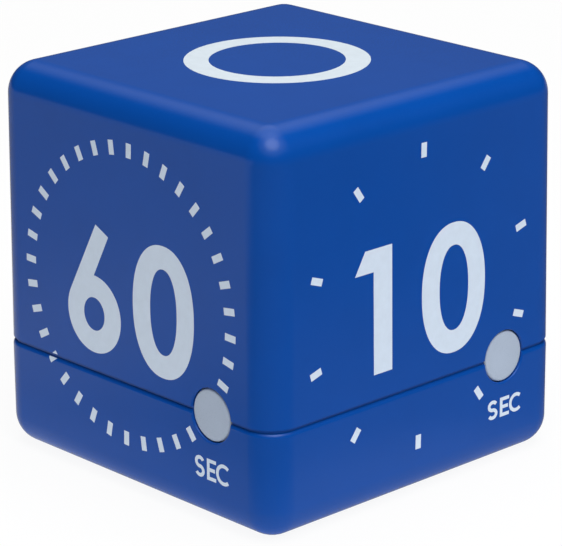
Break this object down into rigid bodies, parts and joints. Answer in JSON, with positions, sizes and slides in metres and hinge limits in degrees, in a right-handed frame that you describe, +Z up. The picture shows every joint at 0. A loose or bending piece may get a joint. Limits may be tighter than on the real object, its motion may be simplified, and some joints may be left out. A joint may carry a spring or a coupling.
{
  "type": "cube timer",
  "caption": "Cube-shaped interval timer with a lamp on every timed side, a display and battery door in its base, and an off side on top.",
  "frame": {"origin": "middle of the underside", "axes": "+Z up to the off side; the timed sides look along -Y, +X, +Y and -X"},
  "size_m": [0.0602, 0.0602, 0.0604],
  "materials": {
    "blue_plastic": "fine satin texture, moulded in colour",
    "milky_lens": "translucent milky diffuser",
    "clear_lamp": "water-clear epoxy",
    "green_board": "solder resist over glass fibre",
    "chip_black": "moulded epoxy",
    "capacitor_sleeve": "shrink sleeve",
    "buzzer_black": "moulded case",
    "nickel": "bright nickel plate",
    "plug_black": "moulded plug",
    "bright_steel": "polished ball",
    "cell_jacket": "printed film jacket, plain",
    "lcd_glass": "display glass",
    "clear_window": "clear polished plastic",
    "frame_black": "moulded frame",
    "flex_amber": "polyimide film",
    "switch_steel": "pressed shield",
    "cap_white": "moulded cap",
    "zinc_screw": "zinc plate"
  },
  "bodies": {
    "root": {"base_shell": "blue_plastic", "board_screw_1": "zinc_screw", "board_screw_2": "zinc_screw", "board_screw_3": "zinc_screw", "buzzer": "buzzer_black", "capacitor": "capacitor_sleeve", "case_screw_1": "zinc_screw", "case_screw_2": "zinc_screw", "case_screw_3": "zinc_screw", "case_screw_4": "zinc_screw", "cell_a": "cell_jacket", "cell_b": "cell_jacket", "circuit_board": "green_board", "contact_bridge": "nickel", "contact_negative": "nickel", "contact_positive": "nickel", "display_flex": "flex_amber", "display_window": "clear_window", "lcd_frame": "frame_black", "lcd_glass": "lcd_glass", "led_back": "clear_lamp", "led_front": "clear_lamp", "led_left": "clear_lamp", "led_lens_back": "milky_lens", "led_lens_front": "milky_lens", "led_lens_left": "milky_lens", "led_lens_right": "milky_lens", "led_right": "clear_lamp", "main_shell": "blue_plastic", "switch_body": "switch_steel", "tilt_can_a": "nickel", "tilt_can_b": "nickel", "tilt_can_c": "nickel", "tilt_plug_a": "plug_black", "tilt_plug_b": "plug_black", "tilt_plug_c": "plug_black", "timer_chip": "chip_black"},
    "battery_door": {"battery_door": "blue_plastic"},
    "sound_slider": {"switch_cap": "cap_white", "switch_lever": "plug_black"},
    "ball_a": {"tilt_ball_a": "bright_steel"},
    "ball_b": {"tilt_ball_b": "bright_steel"},
    "ball_c": {"tilt_ball_c": "bright_steel"}
  },
  "joints": [
    {"name": "door_hinge", "type": "hinge", "parent": "root", "child": "battery_door", "pos_m": [-0.02585, -0.006, 0.0002], "axis": [0, 1, 0], "range_deg": [0, 70]},
    {"name": "sound_slide", "type": "slide", "parent": "root", "child": "sound_slider", "axis": [1, 0, 0], "range_m": [-0.002, 0.002]},
    {"name": "ball_a_roll", "type": "slide", "parent": "root", "child": "ball_a", "axis": [0.7071, 0.7071, 0], "range_m": [0, 0.0036]},
    {"name": "ball_b_roll", "type": "slide", "parent": "root", "child": "ball_b", "axis": [0.7071, -0.7071, 0], "range_m": [0, 0.0036]},
    {"name": "ball_c_roll", "type": "slide", "parent": "root", "child": "ball_c", "axis": [0, 0, 1], "range_m": [0, 0.0036]}
  ]
}
